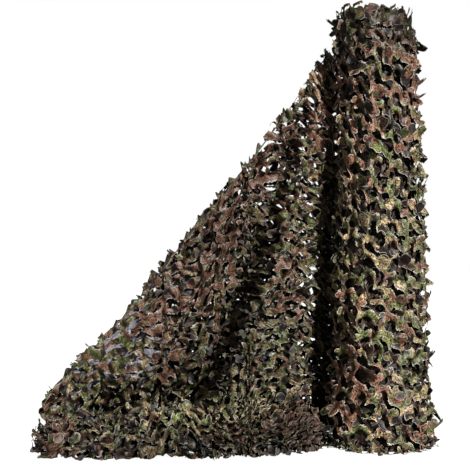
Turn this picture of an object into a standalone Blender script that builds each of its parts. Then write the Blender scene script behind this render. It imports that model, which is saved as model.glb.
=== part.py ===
"""Camouflage net: one length of leaf-cut net cloth, wound into a tall roll that stands on its end.

The loose end leaves the roll at its back left, falls to the left in three fanned folds, and lies
on the floor in a long ridge whose edge is tucked under. Metres, +Z up. The origin is the centre
of the roll's foot, on the floor, and the loose end runs towards -X.
"""
import math

import bmesh
import bpy

for old in list(bpy.data.objects):
    bpy.data.objects.remove(old, do_unlink=True)

# The roll: cloth width is its height. Its radius shrinks towards the top, where it was pulled tight.
NET_WIDTH = 1.5
ROLL_RADII = (  # height, radius of the outermost turn
    (0.000, 0.184), (0.022, 0.194), (0.070, 0.191), (0.250, 0.177), (0.550, 0.166),
    (0.900, 0.156), (1.200, 0.147), (1.380, 0.139), (1.440, 0.128), (1.480, 0.104),
)
ROLL_LEAN = 0.018           # how far the roll's top leans towards the loose end that pulls on it
LEAN_FROM = 0.95            # height above which it leans
TURN_STEP = 0.012           # how far the outermost turn stands over the one beneath it
STEP_SLIVER_DEG = 0.5       # width of the nearly upright face of that step
LEAVE_DEG_FOOT = 125.0      # where round the roll the loose end leaves it, from +X towards +Y
LEAVE_DEG_APEX = 165.0
CUTS_AROUND = 9             # gaping leaf cuts in a row, at twice the pitch of the real ones
CUT_ROW = 0.088
DENT_DEPTH = 0.018
ROLL_COLUMNS = 6 * CUTS_AROUND
RING_SPACING = CUT_ROW / 3
TOP_RINGS = 7               # rings across the wound end
WIND_PITCH = 0.038          # spacing of the coarse spiral ridges on the wound end
WIND_RIDGE = 0.005

# The loose end: a sheet that hangs from the roll's left edge and falls to the floor.
SHEET_THICK = 0.002
SEAT_GAP = 0.0012           # between the loose end and the roll's step
ROLL_CLEARANCE = 0.002      # least distance of the hanging cloth's middle outside the roll
APEX_HEIGHT = 1.375
APEX_X = -0.158
APEX_Y = 0.045
CELL_COLUMNS = 15
CELL_ROWS = 15
HOLE_ALONG = 0.29           # half width and half height of a hole, as shares of its cell
HOLE_ACROSS = 0.29
HANG_LEAN = 0.07            # how far the middle columns lean towards the roll as they fall
RIPPLE = 0.012              # small puckers in the hanging cloth
TOP_EDGE = (  # x, height of the sheet's top edge, from the roll to the toe
    (-0.158, 1.375), (-0.205, 1.325), (-0.303, 1.172), (-0.486, 0.922), (-0.677, 0.692),
    (-0.880, 0.440), (-1.065, 0.236), (-1.120, 0.150), (-1.150, 0.084),
)
FOLDS = (  # x where a fold meets the floor, its depth there (negative is forward)
    (-0.115, 0.164), (-0.215, 0.112), (-0.300, 0.010), (-0.380, -0.105), (-0.450, -0.150),
    (-0.520, -0.080), (-0.610, 0.050), (-0.700, 0.035), (-0.830, -0.050), (-0.960, -0.020),
    (-1.090, 0.040), (-1.240, 0.030),
)
PILE = (  # x, height where the hanging cloth ends, ridge depth and height, front, end of the tuck
    (-0.115, 0.003, 0.162, 0.003, 0.160, 0.161),
    (-0.150, 0.003, 0.138, 0.003, 0.130, 0.137),
    (-0.180, 0.045, 0.108, 0.032, 0.080, 0.110),
    (-0.205, 0.092, 0.080, 0.064, 0.038, 0.084),
    (-0.235, 0.128, 0.028, 0.098, -0.036, 0.054),
    (-0.275, 0.150, -0.034, 0.124, -0.100, 0.024),
    (-0.330, 0.158, -0.100, 0.136, -0.170, -0.020),
    (-0.450, 0.158, -0.185, 0.134, -0.238, -0.080),
    (-0.520, 0.110, -0.175, 0.154, -0.255, -0.050),
    (-0.620, 0.045, -0.155, 0.152, -0.270, 0.005),
    (-0.750, 0.040, -0.165, 0.130, -0.282, 0.010),
    (-0.880, 0.038, -0.170, 0.118, -0.288, 0.000),
    (-1.000, 0.044, -0.165, 0.102, -0.280, 0.020),
    (-1.090, 0.040, -0.140, 0.088, -0.248, 0.025),
    (-1.150, 0.030, -0.095, 0.066, -0.160, 0.015),
)
PILE_STARTS = -0.150        # x where the heap on the floor begins, beside the roll's foot
PILE_FULL = -0.210
PATH_STEPS = 60


def read_table(rows, column, at):
    """Read one column of a table smoothly at a place given in its first column."""
    ahead = rows[-1][0] > rows[0][0]
    last = len(rows) - 1
    first_row, last_row = rows[0], rows[last]
    at = min(max(at, min(first_row[0], last_row[0])), max(first_row[0], last_row[0]))
    k = 0
    while k < last - 1 and (at > rows[k + 1][0]) == ahead and at != rows[k + 1][0]:
        k += 1
    before, low = rows[max(k - 1, 0)], rows[k]
    high, after = rows[k + 1], rows[min(k + 2, last)]
    span = high[0] - low[0]
    share = (at - low[0]) / span

    def slope(row_a, row_b):
        run = row_b[0] - row_a[0]
        return (row_b[column] - row_a[column]) / run if run else 0.0

    middle = slope(low, high)
    enter = 0.5 * (slope(before, low) + middle) if k > 0 else middle
    leave = 0.5 * (slope(high, after) + middle) if k + 2 <= last else middle
    s2, s3 = share * share, share ** 3
    return ((2 * s3 - 3 * s2 + 1) * low[column] + (s3 - 2 * s2 + share) * span * enter
            + (3 * s2 - 2 * s3) * high[column] + (s3 - s2) * span * leave)


def roll_radius(height):
    return read_table(ROLL_RADII, 1, height)


def roll_axis(height):
    """Where the roll's axis stands along x at a height."""
    share = min(max((height - LEAN_FROM) / (NET_WIDTH - LEAN_FROM), 0.0), 1.0)
    return -ROLL_LEAN * share ** 1.5


def leave_angle(height):
    """Direction round the roll, in radians, in which the loose end leaves it at a height."""
    share = min(max(height / APEX_HEIGHT, 0.0), 1.0)
    return math.radians(LEAVE_DEG_FOOT + (LEAVE_DEG_APEX - LEAVE_DEG_FOOT) * share)


def roll_point(column, height):
    """A point of the roll's side: the spiral of the winding, dented where the leaf cuts gape."""
    turn = min(column / ROLL_COLUMNS, 1.0) * 2 * math.pi
    if column > ROLL_COLUMNS:
        turn = 2 * math.pi
    elif column == ROLL_COLUMNS:
        turn = 2 * math.pi - math.radians(STEP_SLIVER_DEG)
    wound = turn / (2 * math.pi)
    radius = roll_radius(height) - TURN_STEP * (1 - wound if column <= ROLL_COLUMNS else 1.0)
    near_step = min(wound, 1 - wound) * 4 * CUTS_AROUND
    near_end = min(height, NET_WIDTH - height) / (CUT_ROW / 2)
    fade = min(max(near_step - 0.6, 0.0), 1.0) * min(max(near_end - 0.4, 0.0), 1.0)
    wave = math.cos(CUTS_AROUND * turn) * math.cos(math.pi * height / CUT_ROW)
    radius -= fade * DENT_DEPTH * max(-wave, 0.0)
    angle = leave_angle(height) + turn
    return (roll_axis(height) + radius * math.cos(angle), radius * math.sin(angle), height)


def top_point(column, ring):
    """A point of the wound end, from its rim to its middle, with the spiral of the turns."""
    rim_height = ROLL_RADII[-1][0]
    rim = roll_point(column, rim_height)
    axis = roll_axis(rim_height)
    inward = ring / TOP_RINGS
    across = math.hypot(rim[0] - axis, rim[1]) * (1 - inward)
    turn = math.atan2(rim[1], rim[0] - axis)
    crown = NET_WIDTH - WIND_RIDGE - (NET_WIDTH - WIND_RIDGE - rim_height) * (1 - inward) ** 4
    ridge = WIND_RIDGE * math.cos(2 * math.pi * across / WIND_PITCH - turn) * min(3 * inward, 1.0)
    ridge *= min(3 * (1 - inward), 1.0)
    return (axis + across * math.cos(turn), across * math.sin(turn), crown + ridge)


def sheet_depth(x, height):
    """Depth of the hanging cloth: its folds fan out from the apex and deepen as they fall."""
    fall = max((APEX_HEIGHT - height) / APEX_HEIGHT, 0.02)
    at_floor = APEX_X + (x - APEX_X) / fall
    depth = APEX_Y + fall * (read_table(FOLDS, 1, at_floor) - APEX_Y)
    pucker = math.sin(38 * at_floor + 3.0 * height) * math.sin(9.0 * height + 5 * x)
    return depth + RIPPLE * fall * min(max(-0.2 - at_floor, 0.0) * 8, 1.0) * pucker


def clear_of_roll(x, y, height):
    """Push a point of the hanging cloth out to the roll's surface where it would cut in."""
    axis = roll_axis(height)
    reach = math.hypot(x - axis, y)
    least = roll_radius(height) + ROLL_CLEARANCE
    if reach >= least:
        return x, y
    return axis + (x - axis) * least / reach, y * least / reach


def column_path(share):
    """One column of the cloth, from its top edge down to the floor, over the ridge and under."""
    toe = TOP_EDGE[-1][0]
    bend = share ** 0.9
    foot_x = PILE[0][0] + (toe - PILE[0][0]) * (share ** 1.05)
    foot_x += HANG_LEAN * math.sin(math.pi * share) * share
    top_x = APEX_X + (toe - APEX_X) * bend
    top_z = read_table(TOP_EDGE, 1, top_x)
    hang_end = read_table(PILE, 1, foot_x)
    path = []
    for step in range(PATH_STEPS + 1):
        part = step / PATH_STEPS
        z = top_z + (hang_end - top_z) * part
        x = top_x + (foot_x - top_x) * part
        x, y = clear_of_roll(x, sheet_depth(x, z), z)
        path.append((x, y, z))
    last = path[-1]
    ridge_y, ridge_z, front_y, tuck_y = (read_table(PILE, c, foot_x) for c in (2, 3, 4, 5))
    floor_z = SHEET_THICK / 2
    grow = min(max((PILE_STARTS - foot_x) / (PILE_STARTS - PILE_FULL), 0.0), 1.0)
    marks = (
        (last[1], hang_end),
        (0.75 * last[1] + 0.25 * ridge_y, 0.92 * hang_end + 0.08 * ridge_z),
        (0.4 * last[1] + 0.6 * ridge_y, 0.35 * hang_end + 0.65 * ridge_z),
        (ridge_y, ridge_z), (0.45 * ridge_y + 0.55 * front_y, 0.82 * ridge_z),
        (front_y, 0.34 * ridge_z), (front_y + 0.012, floor_z), (tuck_y, floor_z),
    )
    for y, z in marks[1:]:
        y = last[1] + (y - last[1]) * grow
        z = hang_end + (z - hang_end) * grow
        path.append((last[0], y, max(z, floor_z)))
    return path


def point_along(path, share):
    """The point that lies a given share of the way along a path."""
    lengths = [math.dist(a, b) for a, b in zip(path, path[1:])]
    goal = share * sum(lengths)
    for start, end, length in zip(path, path[1:], lengths):
        if goal <= length and length > 0:
            part = goal / length
            return tuple(a + (b - a) * part for a, b in zip(start, end))
        goal -= length
    return path[-1]


def start_point(share):
    """A point of the edge where the loose end meets the step of the roll's outermost turn."""
    height = max(APEX_HEIGHT * (1 - share), SHEET_THICK)
    radius = roll_radius(height) - TURN_STEP / 2
    angle = leave_angle(height) + SEAT_GAP / radius
    return (roll_axis(height) + radius * math.cos(angle), radius * math.sin(angle), height)


def collection(name):
    group = bpy.data.collections.new(name)
    bpy.context.scene.collection.children.link(group)
    return group


def finish(name, group, mesh, colour, roughness):
    """Turn a bmesh into a named object with its own material."""
    data = bpy.data.meshes.new(name)
    mesh.to_mesh(data)
    mesh.free()
    thing = bpy.data.objects.new(name, data)
    group.objects.link(thing)
    material = bpy.data.materials.new(name + "_cloth")
    material.use_nodes = True
    shader = material.node_tree.nodes["Principled BSDF"]
    shader.inputs["Base Color"].default_value = (*colour, 1.0)
    shader.inputs["Roughness"].default_value = roughness
    shader.inputs["Metallic"].default_value = 0.0
    data.materials.append(material)
    return thing


def make_roll(group):
    """The wound part: a grid wrapped round the spiral, closed over the wound end and the foot."""
    columns = ROLL_COLUMNS + 1
    heights = [ROLL_RADII[0][0], ROLL_RADII[1][0]]
    rows_up = int((ROLL_RADII[-3][0]) / RING_SPACING)
    heights += [RING_SPACING * k for k in range(1, rows_up + 1)]
    heights += [row[0] for row in ROLL_RADII[-2:]]
    rows = len(heights) + TOP_RINGS
    mesh = bmesh.new()
    bmesh.ops.create_grid(mesh, x_segments=columns, y_segments=rows - 1, size=0.5)
    for vert in mesh.verts:
        column = round((vert.co.x + 0.5) * columns)
        row = round((vert.co.y + 0.5) * (rows - 1))
        if row < len(heights):
            vert.co = roll_point(column, heights[row])
        else:
            vert.co = top_point(column, row - len(heights) + 1)
    bmesh.ops.remove_doubles(mesh, verts=mesh.verts, dist=0.00005)
    bmesh.ops.holes_fill(mesh, edges=[e for e in mesh.edges if e.is_boundary], sides=0)
    bmesh.ops.recalc_face_normals(mesh, faces=mesh.faces)
    return finish("net_roll", group, mesh, (0.16, 0.15, 0.09), 0.8)


def cut_holes(mesh):
    """Join the grid's faces into staggered cells and cut a round hole in each."""
    cells = {}
    for face in mesh.faces:
        middle = face.calc_center_median()
        column = int((middle.x + 0.5) * 2 * CELL_COLUMNS)
        row = int((middle.y + 0.5) * CELL_ROWS)
        shift = row % 2
        cells.setdefault(((column + shift) // 2, row), []).append(face)
    whole = [faces for faces in cells.values() if len(faces) == 4]
    joined = []
    for faces in whole:
        joined += bmesh.ops.dissolve_faces(mesh, faces=faces, use_verts=False)["region"]
    bmesh.ops.inset_individual(mesh, faces=joined, thickness=0.004, use_even_offset=True)
    for face in joined:
        middle = face.calc_center_bounds()
        for vert in face.verts:
            side = (vert.co.x - middle.x) * CELL_COLUMNS
            rise = (vert.co.y - middle.y) * CELL_ROWS
            angle = math.atan2(rise, side)
            vert.co.x = middle.x + HOLE_ALONG * math.cos(angle) / CELL_COLUMNS
            vert.co.y = middle.y + HOLE_ACROSS * math.sin(angle) / CELL_ROWS
    bmesh.ops.delete(mesh, geom=joined, context="FACES_ONLY")


def make_loose_end(group):
    """The loose end: a flat perforated grid, laid over the folds and given its thickness."""
    mesh = bmesh.new()
    bmesh.ops.create_grid(mesh, x_segments=2 * CELL_COLUMNS, y_segments=2 * CELL_ROWS, size=0.5)
    cut_holes(mesh)
    for vert in mesh.verts:
        along = vert.co.x + 0.5
        down = 0.5 - vert.co.y
        if along < 0.0001:
            vert.co = start_point(down)
        else:
            vert.co = point_along(column_path(along), down)
    bmesh.ops.recalc_face_normals(mesh, faces=mesh.faces)
    sheet = finish("net_loose_end", group, mesh, (0.24, 0.21, 0.12), 0.8)
    wall = sheet.modifiers.new("thickness", "SOLIDIFY")
    wall.thickness = SHEET_THICK
    wall.offset = 0.0
    wall.use_even_offset = False
    return sheet


camouflage_net = collection("camouflage_net")
make_roll(camouflage_net)
make_loose_end(camouflage_net)
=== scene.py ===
"""Camouflage net: a bulk roll of leaf-cut net cloth on its end, its loose end pulled down to the left."""
import math

import bmesh
import bpy
import numpy as np
from mathutils import Matrix, Vector


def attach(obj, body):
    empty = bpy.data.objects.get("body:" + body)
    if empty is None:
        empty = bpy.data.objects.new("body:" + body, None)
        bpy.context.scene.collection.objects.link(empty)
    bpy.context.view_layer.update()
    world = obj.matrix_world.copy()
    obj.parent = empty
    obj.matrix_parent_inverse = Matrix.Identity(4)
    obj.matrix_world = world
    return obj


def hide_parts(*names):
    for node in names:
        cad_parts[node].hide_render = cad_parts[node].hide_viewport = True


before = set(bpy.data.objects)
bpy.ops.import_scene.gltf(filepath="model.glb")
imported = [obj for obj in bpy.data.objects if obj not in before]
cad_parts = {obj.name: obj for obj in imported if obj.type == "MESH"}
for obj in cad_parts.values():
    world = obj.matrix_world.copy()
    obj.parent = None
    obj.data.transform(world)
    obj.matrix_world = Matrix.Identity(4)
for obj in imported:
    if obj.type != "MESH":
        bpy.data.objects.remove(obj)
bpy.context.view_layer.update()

# The viewpoint: a long lens, level, a little under half the roll's height above the floor.
scene = bpy.context.scene
camera_data = bpy.data.cameras.new("viewpoint")
camera_data.sensor_width = 36.0
camera_data.lens = 83.3
camera_data.shift_y = -0.013
camera = bpy.data.objects.new("viewpoint", camera_data)
camera.location = (-0.49, -3.70, 0.73)
camera.rotation_euler = (math.radians(90), 0.0, 0.0)
scene.collection.objects.link(camera)
scene.camera = camera

# The studio: a plain pale floor and white air, both of which the camera sees brighter than they light
# the net. A fairly hard sun shines from the right, and softer ones from above, the left and behind.
FLOOR_REACH = 14.0
FLOOR_COLOUR = (0.10, 0.10, 0.10, 1.0)
FLOOR_GLOW = 0.95           # added only where the camera looks at the floor
AIR_LIGHT = 0.02
WHITE = (1.0, 1.0, 1.0, 1.0)
LAMPS = (  # name, direction that it shines towards, strength, softness in degrees
    ("lamp_right", (-0.46, 0.82, -0.46), 6.0, 4.0),
    ("lamp_top", (0.10, 0.25, -1.0), 0.14, 25.0),
    ("lamp_left", (0.80, 0.70, -0.35), 0.24, 30.0),
    ("lamp_back", (0.05, -0.85, -0.50), 2.2, 25.0),
)


def make_object(name, mesh):
    """Put a finished mesh into the scene as an object of its own."""
    data = bpy.data.meshes.new(name)
    mesh.to_mesh(data)
    mesh.free()
    thing = bpy.data.objects.new(name, data)
    scene.collection.objects.link(thing)
    return thing


floor_mesh = bmesh.new()
bmesh.ops.create_grid(floor_mesh, x_segments=8, y_segments=8, size=FLOOR_REACH)
floor = make_object("studio_floor", floor_mesh)
floor_finish = bpy.data.materials.new("studio_floor_paint")
floor_finish.use_nodes = True
floor_nodes, floor_links = floor_finish.node_tree.nodes, floor_finish.node_tree.links
floor_shader = floor_nodes["Principled BSDF"]
floor_shader.inputs["Base Color"].default_value = FLOOR_COLOUR
floor_shader.inputs["Roughness"].default_value = 0.9
floor_seen = floor_nodes.new("ShaderNodeLightPath")
floor_glow = floor_nodes.new("ShaderNodeEmission")
floor_glow.inputs["Strength"].default_value = FLOOR_GLOW
floor_both = floor_nodes.new("ShaderNodeAddShader")
floor_mix = floor_nodes.new("ShaderNodeMixShader")
floor_links.new(floor_shader.outputs[0], floor_both.inputs[0])
floor_links.new(floor_glow.outputs[0], floor_both.inputs[1])
floor_links.new(floor_seen.outputs["Is Camera Ray"], floor_mix.inputs["Fac"])
floor_links.new(floor_shader.outputs[0], floor_mix.inputs[1])
floor_links.new(floor_both.outputs[0], floor_mix.inputs[2])
floor_links.new(floor_mix.outputs[0], floor_nodes["Material Output"].inputs["Surface"])
floor.data.materials.append(floor_finish)

world = bpy.data.worlds.new("studio_air")
world.use_nodes = True
air, air_links = world.node_tree.nodes, world.node_tree.links
glow = air["Background"]
glow.inputs["Color"].default_value = WHITE
glow.inputs["Strength"].default_value = AIR_LIGHT
wall = air.new("ShaderNodeBackground")
wall.inputs["Color"].default_value = WHITE
wall.inputs["Strength"].default_value = 1.0
seen = air.new("ShaderNodeLightPath")
either = air.new("ShaderNodeMixShader")
air_links.new(seen.outputs["Is Camera Ray"], either.inputs["Fac"])
air_links.new(glow.outputs[0], either.inputs[1])
air_links.new(wall.outputs[0], either.inputs[2])
air_links.new(either.outputs[0], air["World Output"].inputs["Surface"])
scene.world = world
scene.view_settings.view_transform = "Standard"
for name, shine, strength, softness in LAMPS:
    lamp_data = bpy.data.lights.new(name, "SUN")
    lamp_data.energy = strength
    lamp_data.angle = math.radians(softness)
    lamp = bpy.data.objects.new(name, lamp_data)
    lamp.rotation_euler = Vector(shine).to_track_quat("-Z", "Y").to_euler()
    scene.collection.objects.link(lamp)


# The net cloth: thin printed cloth, most likely polyester, cut all over with staggered curved cuts.
# Pulled open, each cut gapes into a hole, the two tongues that it frees curl out of the cloth, and the
# web between the holes puckers. A cell round one cut is modelled flat and repeated, then bent to place.
COLUMN_STEP = math.sqrt(0.75)   # from one column of cuts to the next, in pitches
RIM_EDGES = 18              # edges round a hole
HOLE = 0.39                 # radius of a gaping hole, in pitches from one hole to the next
TONGUES = (  # direction of its root in the two kinds of column, root's rim edges, length, steps
    (math.radians(70), math.radians(250), 5, 0.74, 6),
    (math.radians(150), math.radians(-30), 3, 0.34, 3),
)
JOINED = (math.radians(-30), math.radians(150))   # where two neighbouring cuts run into one S
WIDTHS = (  # along each tongue, its width as a share of its root's
    ((0.0, 1.0), (0.17, 1.09), (0.33, 1.18), (0.5, 1.20), (0.67, 1.08), (0.83, 0.86), (1.0, 0.42)),
    ((0.0, 1.0), (0.25, 1.10), (0.5, 1.06), (0.75, 0.84), (1.0, 0.40)),
)
TONGUE_FLAT = 0.78          # a flat tongue's share of its real length, so that it stays in its cell
NECK_SPREAD = 1.75          # widening of the opening where two joined cuts meet
NECK_NEAR = 0.46            # distance from the cut at which that opening narrows
NECK_DEG = (30, 8)          # half its width nearer than that, and further out
CELL_VALUES = ("inner", "rim", "tongue", "along", "across", "root_x", "root_y")   # kept at each vertex
DRAWS = 8                   # random numbers for each cut
DRAW_CELLS = 97             # columns and rows after which they repeat
LEAF_LIMITS = (-0.308, 0.213)   # no leaf tip stands further forward or back than this
LEAST_HEIGHT = 0.0006       # nor lower than this


def cut_cell(odd, joined):
    """One cell laid flat: the six-sided web round a cut, its round tongue and its lip, in pitches."""
    cell = bmesh.new()
    inner, rim, tongue, along, across, root_x, root_y = [
        cell.verts.layers.float.new(title) for title in CELL_VALUES]
    turn = Matrix.Rotation(math.radians(30), 4, "Z")
    bmesh.ops.create_circle(cell, segments=6, radius=1 / math.sqrt(3), matrix=turn)
    bmesh.ops.subdivide_edges(cell, edges=cell.edges[:], cuts=RIM_EDGES // 6 - 1)
    toward = Vector((math.cos(JOINED[odd]), math.sin(JOINED[odd]), 0.0))
    for vert in cell.verts:
        if vert.co.dot(toward) > 0.499 and vert.co.length < 0.56:   # the middle of the cell's side there
            vert.co = toward * 0.5 + (vert.co - toward * 0.5) * NECK_SPREAD
    edge = cell.edges[:]
    for share in (0.55, 1.0):
        grown = bmesh.ops.extrude_edge_only(cell, edges=edge)["geom"]
        edge = [g for g in grown if isinstance(g, bmesh.types.BMEdge)]
        for vert in {v for e in edge for v in e.verts}:
            angle = math.atan2(vert.co.y, vert.co.x)
            reach = vert.co.length * 0.45 + HOLE * 0.55 if share < 1 else HOLE
            vert.co = Vector((math.cos(angle), math.sin(angle), 0.0)) * reach
            vert[inner] = share
            vert[rim] = 1.0 if share == 1.0 else 0.0
    ring = edge
    neck = []
    if joined:
        for face in cell.faces:
            middle = face.calc_center_median()
            off = math.degrees(middle.xy.angle_signed(toward.xy))
            if abs(off) < NECK_DEG[0 if middle.length < NECK_NEAR else 1]:
                neck.append(face)
    for number, (even_facing, odd_facing, width, length, steps) in enumerate(TONGUES, 1):
        facing = odd_facing if odd else even_facing

        def off_root(e):
            middle = (e.verts[0].co + e.verts[1].co) / 2
            away = math.atan2(middle.y, middle.x) - facing
            return abs(math.atan2(math.sin(away), math.cos(away)))
        root = sorted(ring, key=off_root)[:width]
        for vert in {v for e in root for v in e.verts}:
            vert[rim] = 0.45
        inward = Vector((-math.cos(facing), -math.sin(facing), 0.0))
        aside = Vector((-inward.y, inward.x, 0.0))
        strip = root
        for step in range(1, steps + 1):
            grown = bmesh.ops.extrude_edge_only(cell, edges=strip)["geom"]
            strip = [g for g in grown if isinstance(g, bmesh.types.BMEdge)]
            part = step / steps
            for vert in {v for e in strip for v in e.verts}:
                if step == 1:
                    vert[root_x], vert[root_y] = vert.co.x, vert.co.y
                    vert[across] = vert.co.dot(aside)
                vert[tongue] = number
                vert[inner] = 1.0
                vert[along] = part
                side = abs(vert[across]) > 0.9 * HOLE * math.sin(math.pi * width / RIM_EDGES)
                vert[rim] = 1.0 if side or step == steps else 0.0
                narrow = float(np.interp(part, *zip(*WIDTHS[number - 1]))) - 1.0
                start = Vector((vert[root_x], vert[root_y], 0.0)) + aside * (vert[across] * narrow)
                vert.co = start + inward * (TONGUE_FLAT * length * part)
                vert.co.z = 0.01 * number
    for face in neck:
        for vert in face.verts:
            if vert.co.length < 0.53:
                vert[rim] = 1.0
    bmesh.ops.delete(cell, geom=neck, context="FACES")
    return cell


def flat_net(name, columns, rows, joined=True):
    """Repeat the cell into a staggered field of cells, laid flat. Its columns run up the width."""
    pair = bmesh.new()
    for odd in (False, True):
        cell = cut_cell(odd, joined)
        if odd:
            bmesh.ops.translate(cell, verts=cell.verts[:], vec=(COLUMN_STEP, 0.5, 0.0))
        data = bpy.data.meshes.new("cell")
        cell.to_mesh(data)
        cell.free()
        pair.from_mesh(data)
        bpy.data.meshes.remove(data)
    net = make_object(name, pair)
    data = net.data
    for title, count, step in (("up", rows, (0, 1, 0)), ("along", columns // 2, (2 * COLUMN_STEP, 0, 0))):
        array = net.modifiers.new(title, "ARRAY")
        array.count = count
        array.use_relative_offset = False
        array.use_constant_offset = True
        array.constant_offset_displace = step
    graph = bpy.context.evaluated_depsgraph_get()
    field = bmesh.new()
    field.from_object(net, graph)
    bpy.data.objects.remove(net, do_unlink=True)
    bpy.data.meshes.remove(data)
    bmesh.ops.remove_doubles(field, verts=field.verts[:], dist=0.001)
    return field


def cells_of(flat):
    """The column and row of the cut nearest to each place of the flat net, in pitches."""
    best = np.full(len(flat), 1e9)
    column = np.zeros(len(flat), int)
    row = np.zeros(len(flat), int)
    guess = np.round(flat[:, 0] / COLUMN_STEP).astype(int)
    for near in (-1, 0, 1):
        c = guess + near
        r = np.round(flat[:, 1] - 0.5 * (c % 2)).astype(int)
        away = (flat[:, 0] - c * COLUMN_STEP) ** 2 + (flat[:, 1] - r - 0.5 * (c % 2)) ** 2
        closer = away < best - 1e-6
        best = np.where(closer, away, best)
        column = np.where(closer, c, column)
        row = np.where(closer, r, row)
    return column, row


def read_steps(rows, column, at):
    """Read a column of a table straight from row to row, at places given in its first column."""
    return np.interp(at, [row[0] for row in rows], [row[column] for row in rows])


def bend_net(field, name, surface, plan, finish):
    """Open the cuts, curl the tongues and lay the flat net on a surface.

    surface(u, v) gives places, two unit directions and the normal for cloth metres u and v. In plan
    are the seed and pitch; hole_shape, open, gape and drift, for the holes' form, size, unevenness and
    straying; tongue, bends, swing, twist and cup, for the tongues' size and curl; pucker, crumple and
    wander, for the waves of the web; tone, print_shift and print_scale, for the print; and murk, for
    painted shade by place, which is painted light where it is below 0.
    """
    layers = {title: field.verts.layers.float[title] for title in CELL_VALUES}
    flat = np.array([v.co[:2] for v in field.verts])
    value = {title: np.array([v[layer] for v in field.verts]) for title, layer in layers.items()}
    pitch = plan["pitch"]
    column, row = cells_of(flat)
    centre = np.stack([column * COLUMN_STEP, row + 0.5 * (column % 2)], axis=1)
    pick = (column % DRAW_CELLS, row % DRAW_CELLS)
    draws = [np.random.default_rng(plan["seed"] + k).random((DRAW_CELLS, DRAW_CELLS))[pick]
             for k in range(DRAWS)]
    draw_gape, draw_x, draw_y, draw_relief, draw_swing, draw_length, draw_lip, draw_tongue = draws

    root = np.stack([value["root_x"], value["root_y"]], axis=1) + centre
    base = np.where(value["tongue"][:, None] > 0, root, flat)
    # Holes gape unevenly, and drift a little off the pattern's lattice.
    lean, stretch, wide, bare = plan["hole_shape"](centre)
    gape = plan["open"] * wide * (1.0 + plan["gape"] * (draw_gape - 0.5))
    drift = plan["drift"] * (np.stack([draw_x, draw_y], axis=1) - 0.5)
    base = base + value["inner"][:, None] * ((base - centre) * (gape[:, None] - 1.0) + drift)
    axis = np.stack([np.cos(lean), np.sin(lean)], axis=1)
    offset = base - centre
    lengthwise = (offset * axis).sum(axis=1)[:, None] * axis
    long_hole = lengthwise * stretch[:, None] + (offset - lengthwise) / stretch[:, None]
    base = centre + offset + value["inner"][:, None] ** 2 * (long_hole - offset)

    wander = np.stack([np.sin(base[:, 1] * 2.1 + 2.0 * np.sin(base[:, 0] * 1.3)),
                       np.sin(base[:, 0] * 2.4 + 2.0 * np.sin(base[:, 1] * 1.1))], axis=1)
    base = base + plan["wander"] * wander

    place, side, up, normal = surface(base[:, 0] * pitch, base[:, 1] * pitch)
    waves = np.zeros(len(flat))
    for gx, gy in ((2 / COLUMN_STEP, 0.0), (-1 / COLUMN_STEP, 2.0), (-1 / COLUMN_STEP, -2.0)):
        waves += np.sin(math.pi * (gx * base[:, 0] + gy * base[:, 1]))
    relief = plan["pucker"] * waves / 2.6
    relief += plan["pucker"] * 0.8 * np.sin(base[:, 0] * 1.31 + 1.7) * np.sin(base[:, 1] * 0.97)
    relief += plan["pucker"] * value["inner"] * (draw_relief - 0.5)
    relief += plan["crumple"] * (np.sin(base[:, 0] * 2.9 + 2.2 * np.sin(base[:, 1] * 1.7))
                                 * np.sin(base[:, 1] * 2.5 + 1.8 * np.sin(base[:, 0] * 2.0)))

    out = np.zeros((len(flat), 3))
    odd = column % 2 == 1
    for number, (even_facing, odd_facing, width, length, _) in enumerate(TONGUES, 1):
        mine = value["tongue"] == number
        swing = (draw_swing - 0.5) * plan["swing"]
        heading = np.where(odd, odd_facing, even_facing) + math.pi + swing
        span = length * (0.85 + 0.30 * draw_length) * plan["tongue"] * pitch
        part = value["along"]
        bends = plan["bends"][number - 1]
        draw = (draw_tongue if number == 1 else draw_lip) * np.clip(1.0 - 1.1 * bare, 0.0, 1.0)
        first = np.radians(read_steps(bends, 1, draw))
        last = np.radians(read_steps(bends, 2, draw))
        last = np.where(np.abs(last) < 0.02, 0.02, last)
        half_root = HOLE * math.sin(math.pi * width / RIM_EDGES)
        b = value["across"] * pitch
        round_end = 1.0 - 0.09 * part * (value["across"] / half_root) ** 2
        a = span * part * round_end
        first = first + plan["twist"] * (draw_relief - 0.5) * value["across"]
        bend = last / span
        forward = (np.sin(first + bend * a) - np.sin(first)) / bend
        rise = (np.cos(first) - np.cos(first + bend * a)) / bend
        widen = read_steps(WIDTHS[number - 1], 1, part) - 1.0
        cup = plan["cup"] * (draw_length - 0.3) * (b / pitch) ** 2 * pitch * np.minimum(part * 2, 1.0)
        out[:, 0] += mine * (np.cos(heading) * forward - np.sin(heading) * b * widen)
        out[:, 1] += mine * (np.sin(heading) * forward + np.cos(heading) * b * widen)
        out[:, 2] += mine * (rise + cup * np.cos(first + bend * a))
        if number == 1:
            # Painted shade: a tongue bent inwards darkens as it goes into its hole, kept as the value
            # "depth".
            shade = mine * np.clip(-first * 2.2, 0.0, 1.0) * np.minimum(part * 3, 1.0)
    final = place + side * out[:, :1] + up * out[:, 1:2] + normal * (relief + out[:, 2])[:, None]
    final[:, 2] = np.clip(final[:, 2], LEAST_HEIGHT, None)
    final[:, 1] = np.clip(final[:, 1], *LEAF_LIMITS)

    uv = field.loops.layers.uv.new("cloth")
    spread = flat * pitch * np.array(plan["print_scale"]) + np.array(plan["print_shift"])
    for vert, spot in zip(field.verts, final):
        vert.co = spot
    field.verts.index_update()
    for face in field.faces:
        for loop in face.loops:
            loop[uv].uv = spread[loop.vert.index]
    piece = make_object(name, field)
    piece.data.shade_smooth()
    # The values kept: "depth" is painted shade on tongues bent inwards, "tone" the browner part of the
    # print, and the last painted shade and painted light by place.
    for title, amount in (("depth", shade), ("tone", plan["tone"](place)), ("painted_light_and_shade", plan["painted_light_and_shade"](place))):
        layer = piece.data.attributes.new(title, "FLOAT", "POINT")
        layer.data.foreach_set("value", amount)
    piece.data.materials.append(finish)
    return piece


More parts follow.
